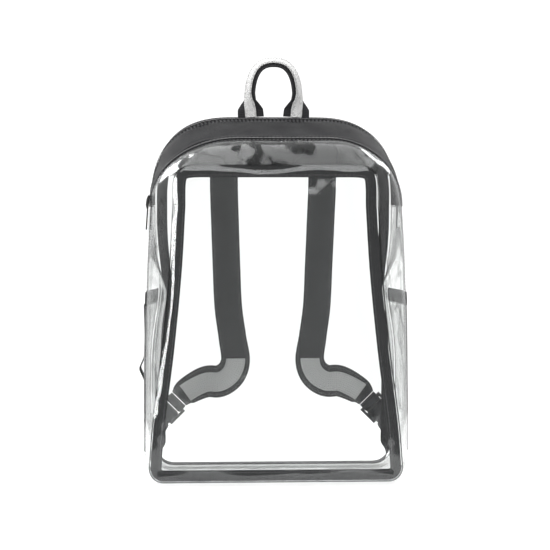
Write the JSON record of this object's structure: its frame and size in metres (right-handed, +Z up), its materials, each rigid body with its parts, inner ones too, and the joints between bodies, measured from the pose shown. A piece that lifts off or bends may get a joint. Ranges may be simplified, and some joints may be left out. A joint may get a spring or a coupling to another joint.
{
  "type": "clear stadium backpack",
  "caption": "Clear plastic backpack with black bindings, two zips over the top, side pockets, carry handle and padded straps.",
  "frame": {"origin": "middle of the bounding box, on the floor that the bag stands on", "axes": "+Z up, -Y towards the front panel, +X to the right seen from the front"},
  "size_m": [0.2706, 0.141, 0.4223],
  "materials": {
    "clear_sheet": "clear glossy vinyl",
    "black_nylon": "coated plain-weave nylon",
    "black_tape": "ribbed grosgrain tape",
    "zip_tape": "woven zip tape",
    "zip_coil": "nylon coil",
    "zip_metal": "black enamel",
    "black_webbing": "ribbed webbing",
    "grey_webbing": "herringbone webbing",
    "grey_lining": "air mesh",
    "black_plastic": "moulded acetal"
  },
  "bodies": {
    "root": {"front_panel": "clear_sheet", "front_gusset": "clear_sheet", "side_gusset": "clear_sheet", "back_panel": "clear_sheet", "side_pocket_left": "clear_sheet", "side_pocket_right": "clear_sheet", "front_binding": "black_tape", "back_binding": "black_tape", "pocket_band_left": "black_tape", "pocket_band_right": "black_tape", "front_zipper": "zip_tape", "rear_zipper": "zip_tape", "front_zip_coil": "zip_coil", "rear_zip_coil": "zip_coil", "front_zip_slider": "zip_metal", "rear_zip_slider": "zip_metal", "top_gusset": "black_nylon", "back_yoke": "black_nylon", "handle_webbing": "black_webbing", "handle_strip": "grey_webbing", "shoulder_strap_left": "black_nylon", "strap_lining_left": "grey_lining", "strap_loop_left": "black_webbing", "ladder_lock_left": "black_plastic", "adjuster_webbing_left": "black_webbing", "anchor_tab_left": "black_nylon", "shoulder_strap_right": "black_nylon", "strap_lining_right": "grey_lining", "strap_loop_right": "black_webbing", "ladder_lock_right": "black_plastic", "adjuster_webbing_right": "black_webbing", "anchor_tab_right": "black_nylon"}
  },
  "joints": []
}
